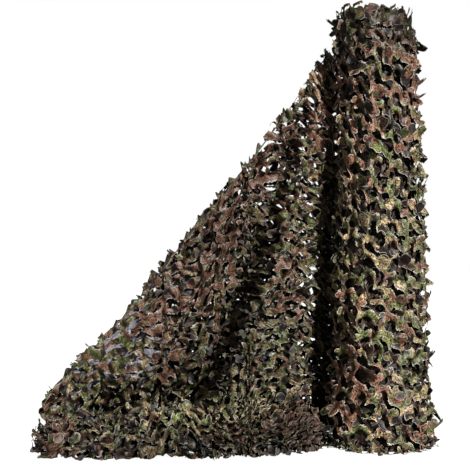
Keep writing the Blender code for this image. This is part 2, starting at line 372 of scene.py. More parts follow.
COLOURS = {  # of the print
    "Olive": (0.188, 0.206, 0.072),
    "Khaki": (0.535, 0.395, 0.212),
    "Rust": (0.288, 0.138, 0.084),
    "Dark": (0.032, 0.019, 0.017),
}
PATCHES = (  # colour, noise scale, its shift, edge, pull and offset of broad regions, pull of Browner
    ("Khaki", 14.0, 0.0, 0.54, -0.22, 0.11, -0.03),
    ("Rust", 17.0, 7.3, 0.555, 0.34, -0.17, 0.15),
    ("Dark", 20.0, 3.1, 0.558, -0.22, 0.11, -0.01),
)
PATCH_SOFTNESS = 0.02
FRAYED_RIM_AND_HIGHLIGHT = (0.80, 0.73, 0.58)      # the rim of a cut: partly the colour of its fraying, partly a painted highlight on its curled edge
PAINTED_HOLE_SHADE = (0.20, 0.115, 0.105, 1.0)   # painted shade: multiplies the colour of a tongue that is bent inwards into its hole
MIX_A, MIX_B, MIX_OUT = 6, 7, 2   # a colour mix node's sockets


def feed(tree, socket, value):
    """Give a node's input another node's output, or a plain value."""
    if isinstance(value, bpy.types.NodeSocket):
        tree.links.new(value, socket)
    else:
        socket.default_value = value


def calculate(tree, operation, *values, clamp=False):
    """Add a Math node, and give its result."""
    node = tree.nodes.new("ShaderNodeMath")
    node.operation = operation
    node.use_clamp = clamp
    for socket, value in zip(node.inputs, values):
        feed(tree, socket, value)
    return node.outputs[0]


def noise(tree, where, scale, detail, roughness=0.5, distortion=0.0):
    """Add noise at places in metres, and give its value."""
    node = tree.nodes.new("ShaderNodeTexNoise")
    for title, value in (("Vector", where), ("Scale", scale), ("Detail", detail),
                         ("Roughness", roughness), ("Distortion", distortion)):
        feed(tree, node.inputs[title], value)
    return node.outputs["Fac"]


def spread_range(tree, value, low, high, to_low=0.0, to_high=1.0):
    """Turn a range of values into another one, and give the result."""
    node = tree.nodes.new("ShaderNodeMapRange")
    for title, number in (("Value", value), ("From Min", low), ("From Max", high),
                          ("To Min", to_low), ("To Max", to_high)):
        feed(tree, node.inputs[title], number)
    return node.outputs["Result"]


def mix_colours(tree, share, colour, other, way="MIX"):
    """Mix a colour with another one, and give the result."""
    node = tree.nodes.new("ShaderNodeMix")
    node.data_type = "RGBA"
    node.blend_type = way
    feed(tree, node.inputs["Factor"], share)
    feed(tree, node.inputs[MIX_A], colour)
    feed(tree, node.inputs[MIX_B], other)
    return node.outputs[MIX_OUT]


def brighten(tree, colour, times):
    """Multiply a colour by a number, and give the result."""
    node = tree.nodes.new("ShaderNodeVectorMath")
    node.operation = "SCALE"
    feed(tree, node.inputs[0], colour)
    feed(tree, node.inputs["Scale"], times)
    return node.outputs[0]


def camouflage_print():
    """Node group: the print's mottled patches, in cloth metres, with painted shade and painted light by
    place laid over them. Out come its colour and its grain.
    """
    group = bpy.data.node_groups.new("camouflage_print", "ShaderNodeTree")
    sockets = [("Cloth", "INPUT", "Vector"), ("Browner", "INPUT", "Float"), ("Painted_shade", "INPUT", "Float")]
    sockets += [(title, "INPUT", "Color") for title in COLOURS]
    sockets += [("Colour", "OUTPUT", "Color"), ("Grain", "OUTPUT", "Float")]
    for title, way, kind in sockets:
        group.interface.new_socket(title, in_out=way, socket_type="NodeSocket" + kind)
    enter = group.nodes.new("NodeGroupInput")
    leave = group.nodes.new("NodeGroupOutput")
    cloth = enter.outputs["Cloth"]
    colour = enter.outputs["Olive"]
    region = noise(group, cloth, 3.2, 1.0)
    for title, scale, shift, edge, pull, offset, browner in PATCHES:
        move = group.nodes.new("ShaderNodeVectorMath")
        move.operation = "ADD"
        feed(group, move.inputs[0], cloth)
        feed(group, move.inputs[1], (shift, shift * 0.7, shift))
        mottle = noise(group, move.outputs[0], scale, 3.0, 0.55, 0.8)
        biased = calculate(group, "MULTIPLY_ADD", region, pull, mottle)
        even = calculate(group, "ADD", biased, offset)
        leaning = calculate(group, "MULTIPLY_ADD", enter.outputs["Browner"], browner, even)
        share = spread_range(group, leaning, edge - PATCH_SOFTNESS, edge + PATCH_SOFTNESS)
        colour = mix_colours(group, share, colour, enter.outputs[title])
    # A fine speckle makes the colours lighter and darker, and painted shade darkens broad regions as a
    # whole; below 0 it is painted light and lightens them.
    grain = noise(group, cloth, 240.0, 2.0)
    blotched = calculate(group, "MULTIPLY_ADD", noise(group, cloth, 120.0, 3.0), 0.8, grain)
    stark = calculate(group, "POWER", spread_range(group, blotched, 0.68, 1.12, 0.05, 1.90), 1.38)
    painted_dimming = calculate(group, "MULTIPLY_ADD", enter.outputs["Painted_shade"], -0.62, 1.0)
    speckled = brighten(group, colour, calculate(group, "MULTIPLY", painted_dimming, stark))
    feed(group, leave.inputs["Colour"], speckled)
    feed(group, leave.inputs["Grain"], grain)
    return group


PRINT = camouflage_print()


def lay_print(tree, where, lightness):
    """Place the print in a finish, at places in metres."""
    printed = tree.nodes.new("ShaderNodeGroup")
    printed.node_tree = PRINT
    for title, colour in COLOURS.items():
        printed.inputs[title].default_value = (*[c * lightness for c in colour], 1.0)
    feed(tree, printed.inputs["Cloth"], where)
    return printed


def raise_grain(tree, printed, strength, height):
    """Let the grain of the cloth stand up as a low relief."""
    bump = tree.nodes.new("ShaderNodeBump")
    bump.inputs["Strength"].default_value = strength
    bump.inputs["Distance"].default_value = height
    feed(tree, bump.inputs["Height"], printed.outputs["Grain"])
    feed(tree, tree.nodes["Principled BSDF"].inputs["Normal"], bump.outputs["Normal"])


def cloth_value(tree, title):
    """A value that is kept at each point of the cloth."""
    node = tree.nodes.new("ShaderNodeAttribute")
    node.attribute_name = title
    return node.outputs["Fac"]


def net_cloth(name, lightness, reverse, turned_lightness=1.0):
    """A finish for the net cloth: the print, with painted shade and painted light by place and painted
    shade on tongues bent inwards; a pale rim at each cut, partly the colour of its fraying and partly a
    painted highlight; a grey unprinted reverse.
    """
    finish = bpy.data.materials.new(name)
    finish.use_nodes = True
    tree = finish.node_tree
    shader = tree.nodes["Principled BSDF"]
    shader.inputs["Roughness"].default_value = 0.5
    shader.inputs["Specular IOR Level"].default_value = 0.35
    where = tree.nodes.new("ShaderNodeUVMap")
    where.uv_map = "cloth"
    printed = lay_print(tree, where.outputs["UV"], lightness)
    # Painted shade and painted light by place, read at each point of the cloth; the painted shade darkens
    # the pale rims too.
    painted_light_and_shade = cloth_value(tree, "painted_light_and_shade")
    feed(tree, printed.inputs["Browner"], cloth_value(tree, "tone"))
    feed(tree, printed.inputs["Painted_shade"], painted_light_and_shade)
    pale = spread_range(tree, cloth_value(tree, "rim"), 0.66, 0.86, 0.0, 0.85)
    rim_in_painted_shade = calculate(tree, "MULTIPLY", pale, calculate(tree, "MULTIPLY_ADD", painted_light_and_shade, -0.6, 1.0))
    frayed_rim_and_highlight = (*[c * (0.25 + 0.7 * lightness) for c in FRAYED_RIM_AND_HIGHLIGHT], 1.0)
    edged = mix_colours(tree, rim_in_painted_shade, printed.outputs["Colour"], frayed_rim_and_highlight)
    # The reverse is half its own colour and half the print that shows through.
    turned = tree.nodes.new("ShaderNodeNewGeometry").outputs["Backfacing"]
    brighter = calculate(tree, "MULTIPLY_ADD", turned, turned_lightness - 1.0, 1.0)
    half_turned = calculate(tree, "MULTIPLY", turned, 0.5)
    both_sides = mix_colours(tree, half_turned, brighten(tree, edged, brighter), (*reverse, 1.0))
    # Painted shade on tongues bent inwards, by the value "depth".
    with_painted_hole_shade = mix_colours(tree, cloth_value(tree, "depth"), both_sides, PAINTED_HOLE_SHADE, "MULTIPLY")
    feed(tree, shader.inputs["Base Color"], with_painted_hole_shade)
    raise_grain(tree, printed, 0.35, 0.0006)
    return finish


GREY = (0.082, 0.076, 0.078)     # the reverse
# The same cloth at lower lightness is painted shade: the pulled-off end is a darker copy, and the turn
# beneath the outer one a nearly black one.
outer_cloth = net_cloth("net_cloth", 0.67, GREY)
loose_cloth_finish = net_cloth("net_cloth_pulled_off_in_painted_shade", 0.37, GREY)
inner_cloth = net_cloth("net_cloth_in_shade", 0.14, (0.03, 0.03, 0.03))


# The wound roll: the outer turn and the turn beneath it, as net, round a packed core that stands for the
# turns inside; the turn beneath and the core are dark with painted shade. It stands on its end, wider at
# the foot, leaning towards the loose end.
NET_WIDTH = 1.5
ROLL_RADII = (  # height, radius of the outermost turn
    (0.000, 0.184), (0.022, 0.194), (0.070, 0.191), (0.250, 0.177), (0.550, 0.166),
    (0.900, 0.156), (1.200, 0.147), (1.380, 0.141), (1.440, 0.134), (1.480, 0.122),
)
ROLL_LEAN = 0.024           # of its top, towards the loose end
LEAN_FROM = 0.95            # height at which the lean starts
TURN_STEP = 0.012           # how far the outer turn stands out where the loose end leaves it
LEAVE_DEG = (125.0, 165.0)  # direction in which the loose end leaves, at the foot and at the apex
APEX_HEIGHT = 1.375
ROLL_PITCH = 0.050          # of the cloth as it is wound; its rows are pulled further apart than that
ROLL_TOP = 1.430            # top edge of the outer turns; the turns inside them stand a little higher
ROLL_ROWS = 23
ROLL_COLUMNS = 26
INNER_COLUMNS = 22
OUTER_INSET = 0.007         # how far the two turns lie under the outermost radius
INNER_INSET = 0.023


def read_table(rows, column, at):
    """Read one column of a table smoothly at places given in its first column."""
    keys = np.array([row[0] for row in rows])
    values = np.array([row[column] for row in rows])
    if keys[0] > keys[-1]:
        keys, values = keys[::-1], values[::-1]
    slopes = np.diff(values) / np.diff(keys)
    tangents = np.concatenate([slopes[:1], (slopes[1:] + slopes[:-1]) / 2, slopes[-1:]])
    at = np.clip(at, keys[0], keys[-1])
    k = np.clip(np.searchsorted(keys, at) - 1, 0, len(keys) - 2)
    span = keys[k + 1] - keys[k]
    t = (at - keys[k]) / span
    return ((2 * t ** 3 - 3 * t ** 2 + 1) * values[k] + (t ** 3 - 2 * t ** 2 + t) * span * tangents[k]
            + (3 * t ** 2 - 2 * t ** 3) * values[k + 1] + (t ** 3 - t ** 2) * span * tangents[k + 1])


def roll_axis(z):
    """The x of the roll's middle line at a height: it leans towards the loose end near the top."""
    share = np.clip((z - LEAN_FROM) / (NET_WIDTH - LEAN_FROM), 0.0, 1.0)
    return -ROLL_LEAN * share ** 1.5


def leave_angle(z):
    """The direction in which the loose end leaves the roll at a height, in radians."""
    share = np.clip(z / APEX_HEIGHT, 0.0, 1.0)
    return np.radians(LEAVE_DEG[0] + (LEAVE_DEG[1] - LEAVE_DEG[0]) * share)


def directions(at, u, v, step):
    """Places on a surface, and there the unit directions along the cloth and up it."""
    place = at(u, v)
    side = at(u + step, v) - at(u - step, v)
    up = at(u, v + step) - at(u, v - step)
    side /= np.maximum(np.linalg.norm(side, axis=1)[:, None], 1e-9)
    up -= (up * side).sum(axis=1)[:, None] * side
    up /= np.maximum(np.linalg.norm(up, axis=1)[:, None], 1e-9)
    return place, side, up


def turn_of_roll(columns, inset):
    """The surface of one turn of the roll, inset under the outermost turn."""
    length = columns * ROLL_PITCH * COLUMN_STEP

    def at(u, v):
        wound = u / length
        angle = leave_angle(v) + 2 * math.pi * wound
        top = ROLL_TOP + 0.035 * np.cos(angle - 2.8)
        climb = (v / ROLL_PITCH - 0.25) / (ROLL_ROWS - 0.25) * top
        z = np.maximum(np.where(climb > 1.45, 1.45 + 0.4 * (climb - 1.45), climb), 0.003 - 0.05 * climb)
        radius = read_table(ROLL_RADII, 1, z) - inset - TURN_STEP * (1 - wound)
        radius += 0.008 * np.clip((z - 1.20) / 0.12, 0.0, 1.0)
        radius += 0.7 * np.clip(-climb, 0.0, 0.03)   # what would be under the floor spreads out on it
        return np.stack([roll_axis(z) + radius * np.cos(angle), radius * np.sin(angle), z], axis=1)

    def surface(u, v):
        place, side, up = directions(at, u, v, 0.002)
        return place, side, up, np.cross(side, up)
    return surface


def round_holes(centre):
    """For each cut: the hole's direction, lengthening and width, and how far its tongues all turn in."""
    count = len(centre)
    return np.zeros(count), np.full(count, 1.08), np.ones(count), np.zeros(count)


def broad_regions(place, regions):
    """How far each place lies in broad regions: x, z, half width, half height, strength."""
    total = np.zeros(len(place))
    for x, z, wide, high, strength in regions:
        total += strength * np.exp(-((place[:, 0] - x) / wide) ** 2 - ((place[:, 2] - z) / high) ** 2)
    return np.clip(total, -1.0, 1.0)


def brown_top(place):
    """The roll's upper end, and patches low and high on it, show the browner part of the print."""
    patches = broad_regions(place, (
        (-0.11, 0.17, 0.09, 0.12, 1.0), (-0.08, 1.02, 0.08, 0.08, 0.5), (0.0, 1.22, 0.40, 0.09, 1.0)))
    return np.clip(0.5 * np.clip((place[:, 2] - 1.12) / 0.10, 0.0, 1.0) + patches, 0.0, 1.0)


def all_brown(place):
    """What shows through the holes is the browner part of the print."""
    return np.ones(len(place))


def painted_shade_top_and_right(place):
    """Painted shade: deepest at the roll's top, where the wound end lies in shade, and also down the roll's
    right side, where the sun falls most.
    """
    left = np.clip((0.06 - place[:, 0]) / 0.08, 0.0, 1.0)
    return np.clip((place[:, 2] - 1.30) / 0.06, 0.0, 1.0) * (0.85 + 0.10 * left) + 0.50 * (1.0 - left)


ROLL_BENDS = (  # share of the tongues, bend at the root, further curl, in degrees: out is positive
    ((0.00, -85, -50), (0.70, -45, -40), (0.71, -16, -20), (0.80, -8, -10), (0.81, 30, -25),
     (1.00, 65, -10)),
    ((0.00, 40, 20), (0.65, 80, 50), (0.66, -60, -20), (1.00, -20, -30)),
)
outer_plan = {
    "seed": 11, "pitch": ROLL_PITCH, "hole_shape": round_holes, "open": 1.0, "gape": 0.22, "drift": 0.18,
    "tongue": 1.0, "bends": ROLL_BENDS, "swing": 0.8, "twist": 0.6, "cup": 1.2,
    "pucker": 0.006, "crumple": 0.0015, "wander": 0.16,
    "tone": brown_top, "painted_light_and_shade": painted_shade_top_and_right, "print_shift": (3.0, 0.0), "print_scale": (1.0, 1.3),
}
inner_plan = dict(outer_plan, seed=31, print_shift=(5.0, 0.4), tone=all_brown)
outer_turn = bend_net(flat_net("outer_turn", ROLL_COLUMNS, ROLL_ROWS), "outer_turn",
                      turn_of_roll(ROLL_COLUMNS, OUTER_INSET), outer_plan, outer_cloth)
inner_turn = bend_net(flat_net("inner_turn", INNER_COLUMNS, ROLL_ROWS, False), "inner_turn",
                      turn_of_roll(INNER_COLUMNS, INNER_INSET), inner_plan, inner_cloth)


# The turns inside, wound on closely: only their upper edges show, on the roll's upper end, so they are
# a narrow strip of the same net that winds inwards as a spiral.
WOUND_OUT, WOUND_IN = 0.128, 0.018   # its outer and inner radius
WOUND_LENGTH = 3.6
WOUND_FROM = 1.322          # height of its lower edge
WOUND_COLUMNS = 2 * round(WOUND_LENGTH / (ROLL_PITCH * COLUMN_STEP) / 2)


def wound_end(u, v):
    """The spiral's surface, wound inwards."""
    def at(u, v):
        closing = (WOUND_OUT ** 2 - WOUND_IN ** 2) / 2 / WOUND_LENGTH
        radius = np.sqrt(np.maximum(WOUND_OUT ** 2 - 2 * closing * u, WOUND_IN ** 2 / 2))
        angle = -(WOUND_OUT - radius) / closing
        z = WOUND_FROM + v + 0.008 * np.sin(angle * 1.3) + 0.006 * np.sin(angle * 2.9 + 1)
        return np.stack([roll_axis(z) + radius * np.cos(angle), radius * np.sin(angle), z], axis=1)
    place, side, up = directions(at, u, v, 0.002)
    return place, side, up, np.cross(up, side)


end_field = flat_net("wound_turns", WOUND_COLUMNS, 3)
bmesh.ops.reverse_faces(end_field, faces=end_field.faces[:])
end_plan = dict(outer_plan, seed=91, pucker=0.003, open=0.85, tongue=0.8, bends=(
    ((0.00, -25, -20), (1.00, 25, 30)), ((0.00, -20, -20), (1.00, 20, 30))), print_shift=(9.0, 2.4))
wound_turns = bend_net(end_field, "wound_turns", wound_end, end_plan, outer_cloth)


# The mass of turns that can't be seen one by one: a plain body of the roll's own form. It stands
# inside the outer turns, its print darkened as painted shade to match what shows through their holes.
CORE_HEIGHT = 1.40
CORE_INSET = 0.042


def plain_cloth(name, lightness, roughness):
    """A finish for cloth without cuts: the print, by its place in metres."""
    finish = bpy.data.materials.new(name)
    finish.use_nodes = True
    tree = finish.node_tree
    printed = lay_print(tree, tree.nodes.new("ShaderNodeTexCoord").outputs["Object"], lightness)
    shader = tree.nodes["Principled BSDF"]
    shader.inputs["Roughness"].default_value = roughness
    feed(tree, shader.inputs["Base Color"], printed.outputs["Colour"])
    return finish, printed


core_mesh = bmesh.new()
bmesh.ops.create_cone(core_mesh, cap_ends=True, segments=72, radius1=1.0, radius2=1.0, depth=1.0)
long_edges = [e for e in core_mesh.edges if abs(e.verts[0].co.z - e.verts[1].co.z) > 0.5]
bmesh.ops.subdivide_edges(core_mesh, edges=long_edges, cuts=60)
for vert in core_mesh.verts:
    z = (vert.co.z + 0.5) * CORE_HEIGHT
    radius = float(read_table(ROLL_RADII, 1, z)) - CORE_INSET
    vert.co = (vert.co.x * radius + float(roll_axis(z)), vert.co.y * radius, z)
core = make_object("packed_core", core_mesh)
# The core's low lightness is painted shade.
core_finish, core_print = plain_cloth("packed_turns_in_painted_shade", 0.14, 0.8)
raise_grain(core_finish.node_tree, core_print, 0.8, 0.004)
core.data.materials.append(core_finish)

for piece in (outer_turn, inner_turn, wound_turns, core):
    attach(piece, "root")
    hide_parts("net_roll")


# The loose end: the same net, pulled off the roll. It hangs in folds that fan out from where it leaves
# the roll, and lies on the floor in a heap whose edge is tucked under. Dark and grey cloth shows
# through its holes, so it is made as two layers, the one behind on the same folds; the dark of the
# layer behind is painted shade.
UNDER_LIFT = -0.028         # how far the layer behind lies off the first
APEX_X = -0.158
APEX_Y = 0.045
ROLL_CLEARANCE = 0.001
STARTS_X = -0.075           # the cloth is followed a little way round the roll's back
TOE_X = -1.170
TOP_EDGE = (  # x, height of the sheet's top edge, from the roll to the toe
    (-0.075, 1.355), (-0.158, 1.350), (-0.205, 1.305), (-0.303, 1.160), (-0.486, 0.922), (-0.677, 0.692),
    (-0.880, 0.440), (-1.075, 0.240), (-1.140, 0.165), (-1.170, 0.095),
)
FOLDS = (  # x where a fold meets the floor, its depth there (negative is forward)
    (-0.115, 0.164), (-0.215, 0.112), (-0.300, 0.010), (-0.380, -0.090), (-0.460, -0.140),
    (-0.520, -0.150), (-0.565, -0.115), (-0.600, 0.020), (-0.640, 0.100), (-0.690, 0.090),
    (-0.760, 0.010), (-0.840, -0.050), (-0.960, -0.020), (-1.090, 0.040), (-1.240, 0.030),
)
PILE = (  # x, height where the hanging cloth ends, ridge depth and height, front, end of the tuck
    (-0.115, 0.003, 0.162, 0.003, 0.160, 0.161),
    (-0.150, 0.003, 0.138, 0.003, 0.130, 0.137),
    (-0.176, 0.050, 0.080, 0.036, 0.020, 0.110),
    (-0.192, 0.085, 0.035, 0.060, -0.085, 0.070),
    (-0.212, 0.110, -0.015, 0.080, -0.125, 0.050),
    (-0.235, 0.128, -0.040, 0.098, -0.148, 0.040),
    (-0.275, 0.150, -0.070, 0.118, -0.170, 0.015),
    (-0.330, 0.158, -0.112, 0.136, -0.200, -0.020),
    (-0.450, 0.158, -0.185, 0.134, -0.238, -0.080),
    (-0.520, 0.110, -0.175, 0.154, -0.255, -0.050),
    (-0.620, 0.045, -0.155, 0.152, -0.264, 0.005),
    (-0.750, 0.040, -0.165, 0.130, -0.272, 0.010),
    (-0.880, 0.038, -0.170, 0.118, -0.275, 0.000),
    (-1.000, 0.044, -0.165, 0.102, -0.270, 0.020),
    (-1.090, 0.040, -0.140, 0.088, -0.248, 0.025),
    (-1.150, 0.030, -0.095, 0.066, -0.160, 0.015),
)
PILE_STARTS = -0.150
PILE_FULL = -0.185
HEAP_CLOTH = 0.66           # cloth width gathered into the heap
HANGING_CLOTH = 1.42        # and hanging above it, at most
LOOSE_PITCH = 0.0415
PLACE_STEP = 0.010          # spacing of the worked-out surface, along the cloth
SCRAP_FACES = 400           # a bit of net with fewer faces than this hangs on to nothing
FOLD_SLIDE = 0.06           # how far left the folds near the toe have slid at the floor
FOOT_DRAWN = 0.10           # how far back the hanging cloth's foot is drawn behind the heap's ridge
BELLY = 0.03                # how far forward it bellies out above the ridge
DEEPEST = 0.125             # the hanging cloth's furthest place back, away from the roll


def hanging_depth(x, z):
    """Depth of the hanging cloth: its folds fan out from the apex and deepen as they fall."""
    fall = np.maximum((APEX_HEIGHT - z) / APEX_HEIGHT, 0.02)
    at_floor = APEX_X + (x - APEX_X) / fall
    slide = FOLD_SLIDE * np.clip(1 - z / 0.7, 0.0, 1.0) * np.clip((-0.45 - x) / 0.1, 0.0, 1.0)
    at_floor = at_floor + slide
    depth = APEX_Y + fall * (read_table(FOLDS, 1, at_floor) - APEX_Y)
    pucker = np.sin(38 * at_floor + 3.0 * z) * np.sin(9.0 * z + 5 * x)
    drawn = FOOT_DRAWN * np.clip((0.22 - z) / 0.13, 0.0, 1.0) ** 1.2
    drawn = drawn - BELLY * np.exp(-((z - 0.25) / 0.07) ** 2)
    drawn = drawn * np.clip((-0.50 - x) / 0.12, 0.0, 1.0) * np.clip((x + 1.08) / 0.12, 0.0, 1.0)
    depth = np.minimum(depth + drawn, DEEPEST + 0.04 * np.clip((x + 0.40) / 0.2, 0.0, 1.0))
    return depth + 0.012 * fall * np.clip((-0.2 - at_floor) * 8, 0.0, 1.0) * pucker


def loose_surface():
    """Work the cloth's surface out on an even grid of cloth metres, from the roll to the toe."""
    xs = np.linspace(STARTS_X, TOE_X, 420)
    run = np.hypot(np.diff(xs), np.diff(hanging_depth(xs, np.full(len(xs), 0.45))))
    length = np.concatenate([[0.0], np.cumsum(run)])
    us = np.arange(0.0, length[-1] + PLACE_STEP, PLACE_STEP)
    xs = np.interp(us, length, xs)
    vs = np.arange(-HEAP_CLOTH, 1.45, PLACE_STEP)
    grid = np.zeros((len(us), len(vs), 3))
    heap_lengths = []
    for i, x in enumerate(xs):
        hang_end, ridge_y, ridge_z, front_y, tuck_y = (float(read_table(PILE, c, x)) for c in range(1, 6))
        z = hang_end + np.maximum(vs, 0.0)
        y = hanging_depth(np.full(len(z), x), z)
        axis = roll_axis(z)
        reach = np.hypot(x - axis, y)
        least = read_table(ROLL_RADII, 1, z) + ROLL_CLEARANCE
        push = np.maximum(least / reach, 1.0)
        grid[i, :, 0] = axis + (x - axis) * push
        grid[i, :, 1] = y * push
        grid[i, :, 2] = z
        foot = grid[i, np.argmin(np.abs(vs)), :2].copy()
        grow = min(max((PILE_STARTS - x) / (PILE_STARTS - PILE_FULL), 0.0), 1.0)
        # From the foot over the ridge to the front of the heap, and back under it.
        marks = [(foot[1], hang_end)]
        for mark_y, mark_z in (
                (0.75 * foot[1] + 0.25 * ridge_y, 0.92 * hang_end + 0.08 * ridge_z),
                (0.4 * foot[1] + 0.6 * ridge_y, 0.35 * hang_end + 0.65 * ridge_z),
                (ridge_y, ridge_z), (0.45 * ridge_y + 0.55 * front_y, 0.82 * ridge_z),
                (0.1 * ridge_y + 0.9 * front_y, 0.60 * ridge_z),
                (front_y, 0.34 * ridge_z), (front_y + 0.012, 0.004), (tuck_y, 0.004)):
            marks.append((foot[1] + (mark_y - foot[1]) * grow,
                          max(hang_end + (mark_z - hang_end) * grow, 0.004)))
        marks = np.array(marks)
        steps = np.concatenate([[0.0], np.cumsum(np.hypot(*np.diff(marks, axis=0).T))])
        heap_lengths.append(steps[-1])
        below = vs < 0
        gone = -vs[below] / HEAP_CLOTH * steps[-1]
        grid[i, below, 0] = foot[0]
        grid[i, below, 1] = np.interp(gone, steps, marks[:, 0])
        grid[i, below, 2] = np.interp(gone, steps, marks[:, 1])
    # Soften the corners of the marks, as cloth would.
    for _ in range(3):
        grid[:, 1:-1] = (grid[:, :-2] + 2 * grid[:, 1:-1] + grid[:, 2:]) / 4
        grid[1:-1] = (grid[:-2] + 2 * grid[1:-1] + grid[2:]) / 4
    return us, vs, xs, grid, np.array(heap_lengths)


place_u, place_v, place_x, place_grid, heap_lengths = loose_surface()


def loose_cloth(lift):
    """The surface of the loose end, moved by lift along its normal."""
    def read(u, v):
        i = np.clip(u / PLACE_STEP, 0, len(place_u) - 1.001)
        j = np.clip((v - place_v[0]) / PLACE_STEP, 0, len(place_v) - 1.001)
        i0, j0 = i.astype(int), j.astype(int)
        fi, fj = (i - i0)[:, None], (j - j0)[:, None]
        g = place_grid
        low = g[i0, j0] * (1 - fj) + g[i0, j0 + 1] * fj
        high = g[i0 + 1, j0] * (1 - fj) + g[i0 + 1, j0 + 1] * fj
        return low * (1 - fi) + high * fi

    def surface(u, v):
        place, side, up = directions(read, u, v, 0.012)
        normal = np.cross(up, side)
        heap = np.clip(-v / 0.08, 0.0, 1.0) * np.clip((v + 0.48) / 0.1, 0.0, 1.0)
        crumple = 0.011 * np.sin(u * 37 + 2.5 * np.sin(v * 19)) * np.sin(v * 41 + 1.9 * np.sin(u * 23))
        near = 0.6 * lift * np.clip(grey_patch(place), 0.0, 1.0)
        return place + normal * (lift - near + heap * crumple)[:, None], side, up, normal
    return surface


GREY_PATCHES = (  # x, z, half width, half height, strength
    (-0.88, 0.33, 0.13, 0.13, 1.0), (-1.02, 0.22, 0.10, 0.08, 0.6), (-0.67, 0.53, 0.05, 0.06, 0.5),
)
BROWN_REGIONS = (  # the same; a strength under 0 is greener
    (-0.36, 1.02, 0.12, 0.13, 1.0), (-0.45, 0.90, 0.10, 0.10, 1.0), (-0.52, 0.72, 0.12, 0.12, 0.9),
    (-0.63, 0.54, 0.13, 0.13, 1.0), (-0.72, 0.34, 0.14, 0.12, 0.9), (-0.26, 0.10, 0.12, 0.10, 0.8),
    (-0.68, 0.15, 0.30, 0.045, -0.9), (-0.32, 0.55, 0.08, 0.14, 0.35), (-0.19, 1.12, 0.05, 0.20, 0.8),
    (-1.12, 0.08, 0.12, 0.12, 0.9), (-0.30, 0.48, 0.05, 0.07, 0.7), (-0.35, 0.37, 0.05, 0.06, -0.9),
)
PAINTED_SHADE_REGIONS = (  # painted shade, as above; a strength under 0 is painted light
    (-0.56, 0.68, 0.12, 0.12, 0.6), (-0.64, 0.30, 0.10, 0.14, 0.6), (-0.30, 0.06, 0.16, 0.07, 0.75),
    (-0.80, 0.03, 0.45, 0.06, 0.45), (-0.30, 0.30, 0.07, 0.20, 0.35), (-0.60, 0.06, 0.60, 0.10, 0.40),
    (-0.19, 1.12, 0.05, 0.22, -1.0), (-0.41, 0.62, 0.045, 0.14, 0.75), (-0.45, 0.44, 0.045, 0.12, 0.95),
    (-0.51, 0.31, 0.055, 0.08, 1.00), (-0.59, 0.23, 0.07, 0.05, 1.00), (-0.74, 0.180, 0.15, 0.028, 0.70),
    (-0.62, 0.135, 0.26, 0.032, -1.0), (-0.34, 0.97, 0.10, 0.13, 0.5), (-0.85, 0.26, 0.15, 0.10, 0.35),
)


def grey_patch(place):
    """Where the layer behind turns its grey reverse to the light, low down near the toe."""
    total = np.zeros(len(place))
    for x, z, wide, high, strength in GREY_PATCHES:
        away = ((place[:, 0] - x) / wide) ** 2 + ((place[:, 2] - z) / high) ** 2
        total += strength * np.exp(-away ** 2)
    return total


def stretched_holes(centre):
    """Near the top edge the pull along the slope draws the holes out; in the heap they gape."""
    u, v = centre[:, 0] * LOOSE_PITCH, centre[:, 1] * LOOSE_PITCH
    x = np.interp(u, place_u, place_x)
    below = read_table(TOP_EDGE, 1, x) - read_table(PILE, 1, x) - v
    pull = np.clip(1 - below / 0.35, 0.0, 1.0)
    heaped = np.clip(-v / 0.05, 0.0, 1.0)
    wide = 1.0 - 0.2 * pull + 0.15 * heaped - 1.05 * np.clip((-v - 0.40) / 0.05, 0.0, 1.0)
    bare = grey_patch(np.stack([x, x, v + read_table(PILE, 1, x)], axis=1))
    lean = np.full(len(centre), math.radians(128))
    return lean, 1.0 + 0.45 * pull, wide - 0.22 * bare, np.clip(bare + 0.3 * heaped, 0.0, 1.0)


def closed_holes(centre):
    """The layer behind is hardly pulled open, but for beside the roll."""
    x = np.interp(centre[:, 0] * LOOSE_PITCH, place_u, place_x)
    z = centre[:, 1] * LOOSE_PITCH + read_table(PILE, 1, x)
    high = np.clip((z - 0.72) / 0.12, 0.0, 1.0) * np.clip((x + 0.60) / 0.15, 0.0, 1.0)
    wide = np.interp(x, (-0.27, -0.235, -0.185, -0.165), (0.20, 0.78, 0.78, 0.12))
    wide = np.maximum(wide, np.interp(x, (-0.205, -0.185), (0.84, 0.12)) * high)
    wide = wide * np.interp(z, (0.25, 0.40), (0.5, 1.0))
    wide = wide * (1.0 - 0.7 * grey_patch(np.stack([x, x, z], axis=1)))
    count = len(centre)
    return np.full(count, math.radians(110)), np.full(count, 1.15), wide, np.zeros(count)


def brown_middle(place):
    """The browner part of the print, across the middle of the hanging cloth."""
    return broad_regions(place, BROWN_REGIONS)


def painted_shade_middle_and_heap(place):
    """Painted shade down the hanging cloth's deep fold, in the crease above the heap and low in the heap,
    with painted light where the strength is under 0, as in the shadowed band beside the roll.
    """
    return broad_regions(place, PAINTED_SHADE_REGIONS)


LOOSE_BENDS = (  # as on the roll
    ((0.00, -85, -60), (0.54, -35, -30), (0.55, 10, 15), (0.66, 30, 55), (0.67, 45, 30), (1.00, 90, 60)),
    ((0.00, 30, 20), (0.65, 85, 60), (0.66, -60, -30), (1.00, -15, -30)),
)
loose_plan = {
    "seed": 51, "pitch": LOOSE_PITCH, "hole_shape": stretched_holes, "open": 0.90, "gape": 0.50,
    "drift": 0.30, "tongue": 0.95, "bends": LOOSE_BENDS, "swing": 1.8, "twist": 2.0, "cup": 1.5,
    "pucker": 0.009, "crumple": 0.011, "wander": 0.20,
    "tone": brown_middle, "painted_light_and_shade": painted_shade_middle_and_heap, "print_shift": (0.0, 0.3), "print_scale": (1.5, 1.5),
}
loose_columns = 2 * round(place_u[-1] / (LOOSE_PITCH * COLUMN_STEP) / 2)
down_rows = round(HEAP_CLOTH / LOOSE_PITCH)
loose_rows = down_rows + round(HANGING_CLOTH / LOOSE_PITCH)


